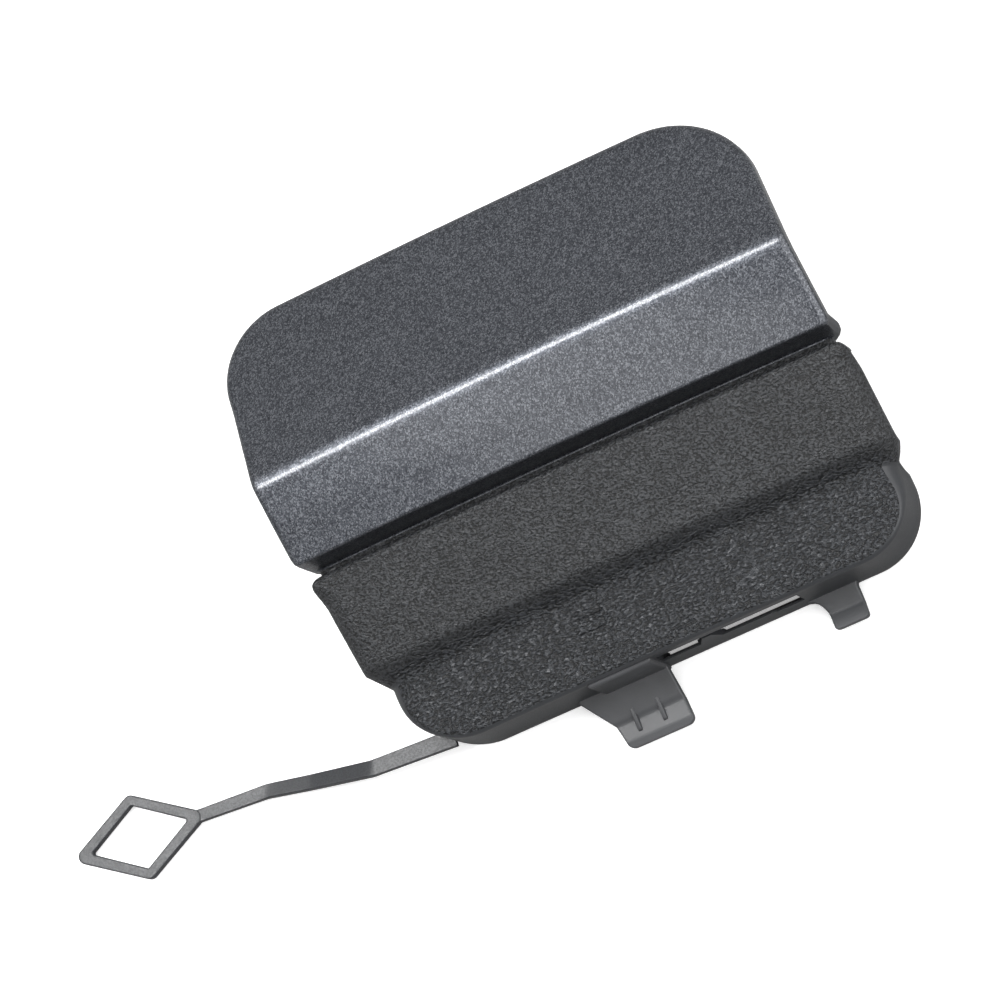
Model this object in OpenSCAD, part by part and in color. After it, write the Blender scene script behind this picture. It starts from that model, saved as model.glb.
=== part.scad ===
// Tow hook cover for a car bumper, one plastic moulding with its clips and tether.
// The front face points up (+Z), the painted top edge points to +Y, and the rear
// rim of the lower skirt lies in the plane z = 0. The origin is the middle of the
// opening that the cover closes.

/* [Body] */
// Width of the cover across the painted panel
body_w = 117.2; // [100:0.2:130]
// Width of the painted panel where its sides reach the top edge
top_w = 114.4; // [98:0.2:116]
// Height of the cover from its bottom edge to its top edge
body_h = 95.7; // [92:0.1:100]
// Width of the lower band, which is a little narrower
lower_w = 110.8; // [96:0.2:114]
// Sideways slant of both side edges, in degrees
side_slant = 3.3; // [0:0.1:6]
// Thickness of the moulding
wall = 2.5; // [1.8:0.1:3]
// How much lower the face lies at its sides than in the middle
crown = 1.9; // [0.5:0.1:4]
// Radius of the upper left corner
top_left_r = 15.6; // [10:0.2:20]
// Radius of the upper right corner
top_right_r = 19.4; // [10:0.2:20]
// Radius of the lower left corner
low_left_r = 14.8; // [8:0.2:14.8]
// Radius of the lower right corner
low_right_r = 13.4; // [8:0.2:14.8]

/* [Front face] */
// Height of the lower band's face above the rear rim
lower_z = 17; // [13:0.5:19]
// Distance from the bottom edge to the fold above the lower band
fold_y = 16.5; // [15.5:0.5:17.5]
// Length of the fold between the lower and the middle band
fold_run = 3.3; // [2.8:0.1:4.5]
// Step of the fold
fold_step = 5; // [3:0.5:6]
// Distance from the bottom edge to the top of the middle band
groove_y = 39.8; // [36:0.2:42]
// Rise of the middle band from the fold to the groove
band_rise = 6; // [3:0.5:8]
// Width of the groove between the middle band and the painted panel
groove_w = 2.6; // [2.2:0.1:4]
// Depth of the groove below the middle band
groove_d = 3.4; // [2:0.2:5]
// Step from the middle band up to the lip of the painted panel
lip_step = 4.5; // [3:0.5:6]
// Distance from the bottom edge to the crease of the painted panel
crease_y = 59.8; // [56:0.2:64]
// Rise of the painted panel from its lip to the crease
crease_rise = 5; // [3:0.5:8]
// Drop of the painted panel from the crease to the top edge
top_drop = 13.5; // [8:0.5:18]
// Radius of the crease
crease_r = 1.6; // [1:0.1:4]
// Radius of the edge above the fold
fold_r = 3.5; // [2:0.1:5]
// Radius of the middle band's edge at the groove
groove_edge_r = 1.3; // [0.8:0.1:2]
// Radius of the painted panel's lip at the groove
lip_r = 0.6; // [0.4:0.1:1.2]
// Radius where the face turns over at the painted edges and the bottom edge
edge_r = 1.4; // [0.8:0.1:2]
// Radius where the face turns over at the sides of the two lower bands
side_r = 5.5; // [3:0.5:7]
// Depth of the return flange behind the painted edges
flange_d = 4; // [3.2:0.1:6]
// Depth of the notch at both ends of the groove
notch_d = 2.2; // [1:0.1:3]

/* [Bottom slot] */
// Left end of the slot in the bottom wall
slot_x0 = -1; // [-4:0.5:4]
// Right end of the slot in the bottom wall
slot_x1 = 29.5; // [20:0.5:30]
// Distance from the lower band's face down to the slot
slot_drop = 3.6; // [3.2:0.1:4.5]
// Height of the rear bar that closes the slot
bar_h = 7.5; // [5:0.1:9]
// Thickness of the rear bar
bar_t = 1.2; // [1:0.1:2]
// Thickness of the rear bar at its upper edge, which is drafted on the rear side
bar_edge = 0.4; // [0.3:0.1:0.8]
// Left side of the stop on the rear bar
stop_x = 8.6; // [6:0.2:12]
// Width of the stop at its top
stop_w = 2; // [1:0.1:3]
// Height of the stop on the rear bar
stop_h = 4.4; // [2:0.1:5]
// Length of the lower stretch at the bar's right end
bar_dip_l = 6; // [4:0.2:8]
// Depth of the lower stretch at the bar's right end
bar_dip = 0.9; // [0.4:0.1:1.4]

/* [Lower clips] */
// Right edge of the middle clip
clip_x = -0.8; // [-4:0.2:0]
// Width of the middle clip at its tip
clip_w = 14.6; // [10:0.2:15]
// Width of the gusset at the root of the middle clip
clip_gusset = 5.6; // [3:0.2:7]
// How far the middle clip reaches below the bottom edge
clip_l = 12.4; // [8:0.2:14]
// Distance from the bottom edge to the step across the middle clip
clip_knee = 7.2; // [5:0.2:8]
// How much higher the middle clip starts at its root than at its tip
clip_fall = 2.6; // [0:0.1:4]
// Thickness of the clips
clip_t = 2; // [1.6:0.1:2.6]
// How far the middle clip's root stands out from the bottom wall
boss_d = 0.8; // [0.4:0.1:1.2]
// Right edge of the right clip
tab_x = 39.4; // [38:0.2:41]
// Width of the right clip
tab_w = 7.6; // [6:0.2:8]
// Width of the fillet at the root of the right clip
tab_root = 3.3; // [1.6:0.1:4]
// How far the right clip reaches below the bottom edge
tab_l = 7.3; // [5:0.1:9]

/* [Upper clips] */
// Distance between the two upper clips
hook_gap = 56; // [44:1:64]
// Width of a hidden snap clip
hook_w = 11; // [8:0.5:13]
// How far the barb of a snap clip stands out
hook_barb = 1.8; // [1:0.1:2.4]
// Height of the barb's long slope at the end of a snap clip
barb_lead = 3.2; // [2:0.1:4]
// Height of the barb's short slope
barb_back = 1.4; // [0.8:0.1:2]
// Length of the snap clips at the sides
side_hook_l = 20; // [14:0.5:24]

/* [Rear ribs] */
// Thickness of the ribs
rib_t = 1.6; // [1.2:0.1:2.2]
// Depth of the stiffening ribs
rib_d = 3.5; // [2:0.5:5]
// Depth of the locating rib, which sits inside the edge of the bumper's opening
locate_d = 8; // [6:0.5:10]
// Distance from the side edge to the locating rib
rib_inset = 8; // [6.5:0.5:10]
// Distance from the top edge to the locating rib
rib_top_gap = 7; // [5:0.5:10]
// Radius of the locating rib's upper corners
rib_corner_r = 9; // [6:0.5:12]
// Distance from the middle to the lengthwise ribs
rib_x = 20; // [14:1:26]

/* [Tether] */
// Width of the tether strap at its root
strap_w = 3.6; // [2.4:0.1:4]
// Width of the tether strap at the eye
strap_end_w = 2.6; // [1.8:0.1:3]
// Thickness of the tether strap
strap_t = 1.5; // [1.2:0.1:2]
// Length of the eye along the strap
eye_l = 28.4; // [22:0.2:30]
// Width of the eye across the strap
eye_w = 17.8; // [14:0.2:20]
// Width of the bars around the eye
eye_bar = 2; // [1.6:0.1:2.6]
// Radius of the eye's outer corners
eye_r = 1.6; // [1:0.1:2.4]

/* [Hidden] */
$fn = 48;

// The tether's route from its root in the lower left corner to the eye, measured from that corner: x, y and
// height of its underside
STRAP_ROUTE = [[8.4, 3.5, 4.2], [-10, 4.55, 4.2], [-24, 7.8, 0.9], [-33.7, 9.95, 0.35], [-51, 11.2, 0.1]];
eye_tilt = 4.1;
// How far the eye laps over the end of the strap, and how much thicker it is than the strap
eye_lap = 2.5;
eye_more = 0.3;

// Steps along the grid of the face
band_cols = 8;
corner_cols = 4;
arc_steps = 4;

// Heights of the face at the top of the middle band, at the painted panel's lip and at the crease
mid_top = lower_z + fold_step + band_rise;
lip_z = mid_top + lip_step;
crease_z = lip_z + crease_rise;

// Both sloping bands bulge a little: share of their rise at half their length, and radius there
bulge = 0.54;
bulge_r = 110;

// The groove's walls lean outwards by this much, and its floor has small radii
groove_draft = 0.5;
floor_r = 0.5;
// Radius of the foot of the fold, and the smallest radius on the rear side
foot_r = 2.5;
min_r = 0.4;

// Bends of the front face from the bottom edge upwards: distance, height and radius
fold_end = fold_y + fold_run;
groove_end = groove_y + groove_w;
BENDS = [[0, lower_z, 0],
    [fold_y, lower_z, foot_r],
    [fold_end, lower_z + fold_step, fold_r],
    [(fold_end + groove_y) / 2, lower_z + fold_step + band_rise * bulge, bulge_r],
    [groove_y, mid_top, groove_edge_r],
    [groove_y + groove_draft, mid_top - groove_d, floor_r],
    [groove_end - groove_draft, mid_top - groove_d, floor_r],
    [groove_end, lip_z, lip_r],
    [(groove_end + crease_y) / 2, lip_z + crease_rise * bulge, bulge_r],
    [crease_y, crease_z, crease_r],
    [body_h, crease_z - top_drop, 0]];
last = len(BENDS) - 1;

// Geometry helpers on plain points
function unit(v) = v / norm(v);
function left_of(v) = [-v[1], v[0]];
function flat2(p) = [p[0], p[1]];
function mix(a, b, t) = a + (b - a) * t;
function ease(a, b, t) = let(s = min(max((t - a) / (b - a), 0), 1)) s * s * (3 - 2 * s);

// A bend turned into an arc of the given radius, with steps + 1 points
function bend(a, b, c, r, steps) =
    let(u = unit(a - b), v = unit(c - b), half = acos(max(min(u * v, 1), -1)) / 2,
        reach = min(r / tan(half), norm(a - b) * 0.46, norm(c - b) * 0.46),
        rr = reach * tan(half), mid = b + unit(u + v) * rr / sin(half),
        p = b + u * reach - mid, q = b + v * reach - mid)
    [for (i = [0 : steps]) mid + rr * unit(mix(p, q, i / steps))];

// The whole chain of bends as a smooth list of points
function chain(pts, steps) = concat([flat2(pts[0])],
    [for (i = [1 : last - 1]) each bend(flat2(pts[i - 1]), flat2(pts[i]), flat2(pts[i + 1]), pts[i][2], steps)],
    [flat2(pts[last])]);

// The same bends moved inwards by a thickness, measured square to the face
function side_line(i, t) = let(d = unit(flat2(BENDS[i + 1] - BENDS[i]))) [flat2(BENDS[i]) - left_of(d) * t, d];
function cross_at(m, n) = let(w = m[1][0] * n[1][1] - m[1][1] * n[1][0], d = n[0] - m[0])
    m[0] + m[1] * (d[0] * n[1][1] - d[1] * n[1][0]) / w;
function is_convex(i) = let(a = flat2(BENDS[i] - BENDS[i - 1]), b = flat2(BENDS[i + 1] - BENDS[i]))
    a[0] * b[1] - a[1] * b[0] < 0;
function inner_bends(t) = concat([[0, lower_z - t, 0]],
    [for (i = [1 : last - 1]) let(p = cross_at(side_line(i - 1, t), side_line(i, t)))
        [p[0], p[1], is_convex(i) ? max(BENDS[i][2] - t, min_r) : BENDS[i][2] + t / 2]],
    [let(l = side_line(last - 1, t)) [body_h, l[0][1] + l[1][1] / l[1][0] * (body_h - l[0][0]), 0]]);

FRONT = chain(BENDS, arc_steps);
BACK = chain(inner_bends(wall), arc_steps);

// Corner blocks: the larger radius on each level sets the block, and the smaller corner sits inside it
low_block = max(low_left_r, low_right_r);
top_block = max(top_left_r, top_right_r);
low_c = low_block;
top_c = body_h - top_block;

// Outline: half width at each height, with the notch where the groove runs out
groove_mid = groove_y + groove_w / 2;
NOTCH = [[-3.2, 0], [-2.2, 0.13], [-1.4, 0.42], [-0.9, 1], [0.4, 1], [1, 0.4], [1.9, 0.1], [3, 0]];
top_half = mix(body_w, top_w, (top_c - crease_y) / (body_h - crease_y)) / 2;
HALF_W = concat([[0, lower_w / 2], [fold_y - 0.5, lower_w / 2], [fold_end, body_w / 2 - 0.3]],
    [for (n = NOTCH) [groove_mid + n[0], body_w / 2 - notch_d * n[1]]],
    [[crease_y, body_w / 2], [top_c, top_half], [body_h, top_half]]);
function half_w(y, t) = min([for (d = [-1 : 1]) lookup(y + d * t, HALF_W)]);
function lean(y) = tan(side_slant) * (groove_mid - y);
function crown_at(x) = crown * pow(2 * x / body_w, 2);

// Radius of the turned edge: large at the sides of the two lower bands, small elsewhere
function side_share(y) = ease(low_block * 0.3, low_block * 1.1, y) * (1 - ease(groove_y - 6, groove_y - 0.5, y));
function turn_r(y, t) = max((y > groove_mid ? edge_r : mix(edge_r, side_r, side_share(y))) - t, t > 0 ? min_r : 0);

// Lower edge of the turned wall: the rear rim at the lower band, a short flange elsewhere
function flange_z(x, y) = min(lookup(y, FRONT) - max(flange_d, turn_r(y, 0) + 1.2),
    lookup(y, BACK) - turn_r(y, wall) - 0.6) - crown_at(x);
function rim_z(x, y) = mix(0, flange_z(x, y), ease(fold_y - 1, fold_y + 0.4, y));

// Grid places: [side, share of the corner block] across and [height, share of the corner block] upwards
COLS = concat([for (a = [-corner_cols : -1]) [-1, -a / corner_cols]],
    [for (i = [0 : band_cols]) [2 * i / band_cols - 1, 0]],
    [for (a = [1 : corner_cols]) [1, a / corner_cols]]);
function rows_of(prof) = concat([for (b = [-corner_cols : -1]) [low_c, b / corner_cols]], [[low_c, 0]],
    [for (p = prof) if (p[0] > low_c + 0.2 && p[0] < top_c - 0.2) [p[0], 0]], [[top_c, 0]],
    [for (b = [1 : corner_cols]) [top_c, b / corner_cols]]);
function corner_x(y) = mix(lower_w / 2 - low_block, top_half - top_block,
    min(max((y - low_c) / (top_c - low_c), 0), 1));

// Place on a corner's outline, e inside it, for an angle from 0 to 90 degrees: a corner of radius r in a block
function corner_at(phi, block, r, e) = let(k = block - r, run = 2 * k + PI * r / 2, s = phi / 90 * run,
        psi = (s - k) / r * 180 / PI)
    s < k ? [block - e, s] : s > run - k ? [run - s, block - e] : [k + (r - e) * cos(psi), k + (r - e) * sin(psi)];
function corner_r(side, up) = up ? (side < 0 ? top_left_r : top_right_r) : side < 0 ? low_left_r : low_right_r;

// Point of the skin that lies t inside the outer face; turn runs from 0 on the face to 90 at the wall
function skin_pt(col, row, t, turn) =
    let(s = col[0], a = col[1], b = abs(row[1]), up = row[1] > 0, y0 = row[0], block = up ? top_block : low_block,
        dir = [a * sqrt(1 - b * b / 2), b * sqrt(1 - a * a / 2)], phi = atan2(dir[1], dir[0]), rc = corner_r(s, up),
        rise = b == 0 ? 0 : a == 0 ? block : corner_at(phi, block, rc, 0)[1],
        r = turn_r(y0 + sign(row[1]) * rise, t), e = t + r * (1 - sin(turn)), cx = corner_x(y0),
        q = a == 0 ? [0, b * (block - e)] : b == 0 ? [a * (half_w(y0, t) - e - cx), 0]
            : norm(dir) * corner_at(phi, block, rc, e),
        x = s * (cx + (a == 0 ? 0 : q[0])), y = y0 + sign(row[1]) * q[1])
    [x, y, lookup(y, t > 0 ? BACK : FRONT) - crown_at(x) - r * (1 - cos(turn))];
function at_rim(p) = [p[0], p[1], rim_z(p[0], p[1])];
function slanted(p) = [p[0] + lean(p[1]), p[1], p[2]];

// The boundary of the grid, once round: [column, row] places
function loop_of(m, n) = concat([for (j = [0 : m - 1]) [j, 0]], [for (i = [0 : n - 1]) [m, i]],
    [for (j = [m : -1 : 1]) [j, n]], [for (i = [n : -1 : 1]) [0, i]]);
function grid(rows, t) = [for (r = rows) for (c = COLS) skin_pt(c, r, t, 0)];
function ring(rows, t, turn) = [for (p = loop_of(len(COLS) - 1, len(rows) - 1)) skin_pt(COLS[p[0]], rows[p[1]], t, turn)];
function two(a, b, c, d) = [[a, b, c], [a, c, d]];

// The moulded shell: the front skin, its turned edge, the rim and the rear skin as one closed surface
module shell_solid() {
    fr = rows_of(FRONT);
    br = rows_of(BACK);
    m = len(COLS);
    n = len(fr);
    turns = [for (k = [1 : arc_steps]) 90 * k / arc_steps];
    outer = [for (k = turns) ring(fr, 0, k)];
    inner = [for (k = [2 : -1 : 1]) ring(br, wall, 45 * k)];
    edge = [for (p = outer[arc_steps - 1]) at_rim(p)];
    foot = [for (p = inner[0]) at_rim(p)];
    rings = concat(outer, [edge, foot], inner);
    ring_n = len(edge);
    points = concat(grid(fr, 0), [for (r = rings) each r], grid(br, wall));
    back0 = m * n + len(rings) * ring_n;
    loop = loop_of(m - 1, n - 1);
    front_loop = [for (p = loop) p[1] * m + p[0]];
    back_loop = [for (p = loop) back0 + p[1] * m + p[0]];
    strips = concat([front_loop], [for (k = [0 : len(rings) - 1]) [for (l = [0 : ring_n - 1]) m * n + k * ring_n + l]],
        [back_loop]);
    faces = concat(
        [for (i = [0 : n - 2]) for (j = [0 : m - 2]) let(a = i * m + j) each two(a, a + m, a + m + 1, a + 1)],
        [for (i = [0 : n - 2]) for (j = [0 : m - 2]) let(a = back0 + i * m + j) each two(a, a + 1, a + m + 1, a + m)],
        [for (k = [0 : len(strips) - 2]) for (l = [0 : ring_n - 1]) let(q = (l + 1) % ring_n)
            each two(strips[k][l], strips[k][q], strips[k + 1][q], strips[k + 1][l])]);
    polyhedron([for (p = points) slanted(p)], faces);
}

// A rounded rectangle that follows the slant of the side edges, between two heights
function arc(c, r, a0, steps) = [for (i = [0 : steps]) c + r * [cos(a0 + 90 * i / steps), sin(a0 + 90 * i / steps)]];
function slanted_rect(half, y0, y1, r) = [for (p = concat(arc([half - r, y0 + r], r, -90, 5), arc([half - r, y1 - r], r, 0, 5),
    arc([r - half, y1 - r], r, 90, 5), arc([r - half, y0 + r], r, 180, 5))) [p[0] + lean(p[1]), p[1]]];

// Height of the ribs' upper edge, which ends inside the wall
rib_root = 0.4;
function rib_top(y) = lookup(y, BACK) + rib_root;

// Side profile of a rib that hangs to depth d below the rear skin, between two heights
function rib_side(y0, y1, d) = let(inside = [for (p = BACK) if (p[0] > y0 + 0.1 && p[0] < y1 - 0.1) p])
    concat([[y0, lookup(y0, BACK) - d], [y0, rib_top(y0)]], [for (p = inside) [p[0], p[1] + rib_root]],
        [[y1, rib_top(y1)], [y1, lookup(y1, BACK) - d]],
        [for (k = [len(inside) - 1 : -1 : 0]) [inside[k][0], inside[k][1] - d]]);
rib_y0 = wall + 3;
rib_y1 = body_h - rib_top_gap;
rib_half = body_w / 2 - rib_inset;

// Draws a side profile (distance up the face, height) as a plate of width w centred on x
module plate_at(x, w, outline) {
    translate([x - w / 2, 0, 0]) rotate([90, 0, 90]) linear_extrude(w) polygon(outline);
}

// Locating rib: two side walls and an upper wall with round corners, open towards the lower band
module locating_rib() {
    intersection() {
        plate_at(0, body_w * 1.2, rib_side(fold_end, rib_y1 + 1, locate_d));
        linear_extrude(crease_z) difference() {
            polygon(slanted_rect(rib_half, 0, rib_y1, rib_corner_r));
            polygon(slanted_rect(rib_half - rib_t, -1, rib_y1 - rib_t, rib_corner_r - rib_t));
        }
    }
}

module length_ribs() {
    for (s = [-1, 1]) plate_at(s * rib_x, rib_t, rib_side(rib_y0, rib_y1 - rib_t / 2, rib_d));
}

module cross_ribs() {
    for (y = [(fold_end + groove_y) / 2, (groove_end + crease_y) / 2, (crease_y + rib_y1) / 2])
        translate([lean(y) - rib_half + rib_t / 2, y, rib_top(y) - rib_d - rib_root - crown])
            cube([2 * rib_half - rib_t, rib_t, rib_d + rib_root + crown]);
}

// A snap clip as a side profile: a leg of length l with a barb near its end
function snap_profile(l, t) = [[0, 0], [0, -l], [t * 0.6, -l], [t + hook_barb, barb_lead - l],
    [t, barb_lead + barb_back - l], [t, 0]];

leg_root = 0.6;
module upper_clips() {
    y = rib_y1 - rib_t;
    top = rib_top(y) - leg_root;
    for (s = [-1, 1]) translate([lean(y) + s * hook_gap / 2, 0, 0])
        plate_at(0, hook_w, [for (p = snap_profile(top, clip_t)) [y + p[0], top + p[1]]]);
}

module side_clips() {
    y = crease_y + hook_w / 4;
    for (s = [-1, 1]) translate([lean(y) + s * (rib_half - rib_t), y, rib_top(y) - crown])
        rotate([90, 0, s > 0 ? 0 : 180]) translate([0, 0, -hook_w / 2])
            linear_extrude(hook_w) polygon(snap_profile(side_hook_l, clip_t));
}

// Cut in the bottom wall between the face and the rear bar, which is thinner than the wall and carries a stop.
// Behind the bar's upper edge the rear side is drafted, apart from the stop.
bar_draft = 2.6;
stop_gap = 0.4;
module slot_cut() {
    top = lower_z - slot_drop;
    low = bar_h - bar_dip;
    slope = stop_h / 3;
    pocket_top = top - 0.2;
    rotate([90, 0, 0]) translate([0, 0, -wall - 1]) linear_extrude(wall + 2)
        polygon([[slot_x0, bar_h], [slot_x0, top], [slot_x1, top], [slot_x1, low], [slot_x1 - bar_dip_l, low],
            [slot_x1 - bar_dip_l - bar_dip, bar_h], [stop_x + stop_w + slope, bar_h], [stop_x + stop_w, bar_h + stop_h],
            [stop_x, bar_h + stop_h], [stop_x - slope, bar_h]]);
    translate([slot_x0, bar_t, -1]) cube([slot_x1 - slot_x0, wall - bar_t + 1, pocket_top + 1]);
    for (x = [[slot_x0, stop_x - slope - stop_gap], [stop_x + stop_w + slope + stop_gap, slot_x1]])
        plate_at((x[0] + x[1]) / 2, x[1] - x[0], [[bar_edge, bar_h], [bar_edge, pocket_top], [wall, pocket_top],
            [wall, bar_h - bar_draft], [bar_t, bar_h - bar_draft]]);
}

// Middle clip: a flat tongue with a slanted gusset, a step across it and two small ribs
clip_left = clip_x - clip_w;
tip_r = 1.4;
step_d = 0.5;
bead_w = 0.9;
bead_l = 5.2;
bead_places = [0.22, 0.6];
module middle_clip() {
    high = clip_t + clip_fall;
    intersection() {
        linear_extrude(lower_z) polygon(concat([[clip_x - boss_d, wall / 2], [clip_left - clip_gusset, wall / 2],
            [clip_left - clip_gusset, -step_d], [clip_left - boss_d, -clip_knee]],
            arc([clip_left + tip_r, tip_r - clip_l], tip_r, 180, 4), arc([clip_x - tip_r, tip_r - clip_l], tip_r, 270, 4)));
        plate_at(clip_left, clip_w * 4, [[wall / 2, clip_fall], [wall / 2, high], [0, high],
            [0.6 - clip_knee, clip_t + step_d], [-clip_knee, clip_t], [tip_r - clip_l, clip_t], [-clip_l, clip_t * 0.8],
            [-clip_l, 0.2], [-clip_knee, 0], [0, clip_fall]]);
    }
    for (s = bead_places) translate([clip_left + clip_w * s, -clip_knee - bead_l / 2, clip_t - step_d])
        cube([bead_w, bead_l, step_d + 1.1]);
    translate([clip_left, -boss_d, 0.2]) cube([clip_w - boss_d, wall, lower_z - edge_r - 0.4]);
}

// Right clip: a short tab that starts higher at its root, with a bend across it
tab_fall = 1.2;
tab_bend = 0.52;
module right_clip() {
    bend_y = -tab_l * tab_bend;
    left = tab_x - tab_w;
    intersection() {
        linear_extrude(lower_z) polygon(concat([[tab_x + 0.3, wall / 2], [left - tab_root, wall / 2]],
            [for (i = [0 : 4]) [left - tab_root * (1 - sin(i * 22.5)), -tab_root * 1.3 * (1 - cos(i * 22.5))]],
            [[left + 0.4, -tab_l], [tab_x, -tab_l], [tab_x, -0.6]]));
        plate_at(tab_x, tab_w * 4, [[wall / 2, tab_fall / 2], [wall / 2, clip_t + tab_fall], [0, clip_t + tab_fall],
            [bend_y, clip_t + 0.1], [-tab_l, clip_t + 1], [-tab_l, 1], [bend_y, 0.1], [0, tab_fall / 2]]);
    }
}

// Tether: a flat strap swept along its route, which narrows towards the eye
strap_pts = [for (p = STRAP_ROUTE) [p[0] - lower_w / 2, p[1], p[2]]];
strap_n = len(strap_pts);
function strap_dir(i) = unit(flat2(strap_pts[min(i + 1, strap_n - 1)]) - flat2(strap_pts[max(i - 1, 0)]));
module strap_bar() {
    points = [for (i = [0 : strap_n - 1]) let(p = strap_pts[i], w = mix(strap_w, strap_end_w, i / (strap_n - 1)),
        side = left_of(strap_dir(i)) * w / 2) each [[p[0] + side[0], p[1] + side[1], p[2]],
        [p[0] - side[0], p[1] - side[1], p[2]], [p[0] - side[0], p[1] - side[1], p[2] + strap_t],
        [p[0] + side[0], p[1] + side[1], p[2] + strap_t]]];
    faces = concat([[3, 2, 1, 0]], [for (i = [0 : strap_n - 2]) for (k = [0 : 3])
        let(a = i * 4 + k, b = i * 4 + (k + 1) % 4) each two(a, b, b + 4, a + 4)],
        [[for (k = [0 : 3]) (strap_n - 1) * 4 + k]]);
    polyhedron(points, faces);
}

// A rhombus whose rounded corners reach the given length and width
function rhombus(l, w, r) = let(half = atan(w / l), a = l / 2 + r * (1 / sin(half) - 1), b = w / 2 + r * (1 / cos(half) - 1),
        c = [[a, 0], [0, b], [-a, 0], [0, -b]])
    [for (i = [0 : 3]) each bend(c[(i + 3) % 4], c[i], c[(i + 1) % 4], r, 4)];

module eye() {
    end = strap_pts[strap_n - 1];
    translate([end[0], end[1], 0]) rotate([0, 0, -eye_tilt]) translate([eye_lap - eye_l / 2, 0, 0])
        linear_extrude(strap_t + eye_more) difference() {
            polygon(rhombus(eye_l, eye_w, eye_r));
            offset(delta = -eye_bar) polygon(rhombus(eye_l, eye_w, eye_r));
        }
}

module cover() {
    color("dimgray") translate([0, -body_h / 2, 0]) {
        difference() {
            shell_solid();
            slot_cut();
        }
        locating_rib();
        length_ribs();
        cross_ribs();
        upper_clips();
        side_clips();
        middle_clip();
        right_clip();
        strap_bar();
        eye();
    }
}

cover();
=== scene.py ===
import math

import bmesh
import bpy
import numpy as np
from mathutils import Matrix, Vector


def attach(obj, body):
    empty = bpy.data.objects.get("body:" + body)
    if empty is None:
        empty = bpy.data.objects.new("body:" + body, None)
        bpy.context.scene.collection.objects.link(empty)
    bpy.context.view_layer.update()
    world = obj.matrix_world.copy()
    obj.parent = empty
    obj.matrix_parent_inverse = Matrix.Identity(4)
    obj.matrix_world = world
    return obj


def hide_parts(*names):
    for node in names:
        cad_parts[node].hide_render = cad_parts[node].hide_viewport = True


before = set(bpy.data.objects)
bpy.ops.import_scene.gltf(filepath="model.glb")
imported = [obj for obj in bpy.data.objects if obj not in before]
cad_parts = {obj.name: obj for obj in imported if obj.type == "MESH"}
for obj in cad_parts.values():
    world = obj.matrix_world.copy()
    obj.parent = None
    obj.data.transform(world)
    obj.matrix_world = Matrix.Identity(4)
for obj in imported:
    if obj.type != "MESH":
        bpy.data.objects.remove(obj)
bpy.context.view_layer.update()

# Units: the part's sizes are in millimetres, as in the construction, and MM turns them into metres.
# The camera's distance, the lamps and the floor are given in metres.
MM = 0.001

# Body
body_w = 117.2
top_w = 114.4
body_h = 95.7
lower_w = 110.8
side_slant = math.radians(3.3)
wall = 2.5
crown = 1.9
top_left_r, top_right_r = 15.6, 19.4
low_left_r, low_right_r = 14.8, 13.4

# Front face, as distances from the bottom edge and heights above the rear rim
lower_z = 17.0
fold_y = 16.5
fold_run = 3.3
fold_step = 5.0
groove_y = 39.8
band_rise = 6.0
groove_w = 2.6
groove_d = 3.4
lip_step = 4.5
crease_y = 59.8
crease_rise = 5.0
top_drop = 13.5
crease_r = 6.0
fold_r = 3.5
groove_edge_r = 2.0
lip_r = 0.6
edge_r = 1.4
side_r = 5.5
flange_d = 4.0
notch_d = 2.2
bulge, bulge_r = 0.54, 110.0
groove_draft, floor_r, foot_r, min_r = 0.5, 0.5, 2.5, 0.4

# Slot
slot_x0, slot_x1, slot_drop = -1.0, 29.5, 3.6
bar_h, bar_t, bar_edge, bar_draft, bar_dip_l, bar_dip = 7.5, 1.2, 0.4, 2.6, 6.0, 0.9
stop_x, stop_w, stop_h, stop_gap = 8.6, 2.0, 4.4, 0.4

# Lower clips
clip_x, clip_w, clip_gusset, clip_l = -0.8, 14.6, 5.6, 12.4
clip_knee, clip_fall, clip_t, boss_d = 7.2, 2.6, 2.0, 0.8
tip_r, step_d, bead_w, bead_l = 1.4, 0.5, 0.9, 5.2
tab_x, tab_w, tab_root, tab_l, tab_fall, tab_bend = 39.4, 7.6, 3.3, 7.3, 1.2, 0.52

# Snap clips and ribs
hook_gap, hook_w, side_hook_l, leg_root = 56.0, 11.0, 20.0, 0.6
hook_barb, barb_lead, barb_back = 1.8, 3.2, 1.4
rib_t, rib_d, locate_d, rib_inset, rib_top_gap, rib_corner_r, rib_x = 1.6, 3.5, 8.0, 8.0, 7.0, 9.0, 20.0
rib_root = 0.4
rib_y0, rib_y1, rib_half = wall + 3, body_h - rib_top_gap, body_w / 2 - rib_inset

# Tether, measured from the lower left corner
strap_w, strap_end_w, strap_t = 3.6, 2.6, 1.5
STRAP_ROUTE = [(8.4, 3.5, 4.2), (-10, 4.55, 4.2), (-24, 7.8, 0.9), (-33.7, 9.95, 0.35), (-51, 11.2, 0.1)]
eye_l, eye_w, eye_bar, eye_r, eye_tilt, eye_lap, eye_more = 28.4, 17.8, 2.0, 1.6, math.radians(4.1), 2.5, 0.3

# Plain bars on the lower band
mark_x0, mark_x1, mark_y, mark_w, mark_d = -12.8, -6.8, (13.0, 10.1), 1.4, 0.35

# Size of the small radius at the rim
rim_edge = 0.35

# Mesh density
arc_steps = 10
longest_row = 1.3
band_cols = 64
corner_cols = 12

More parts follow.
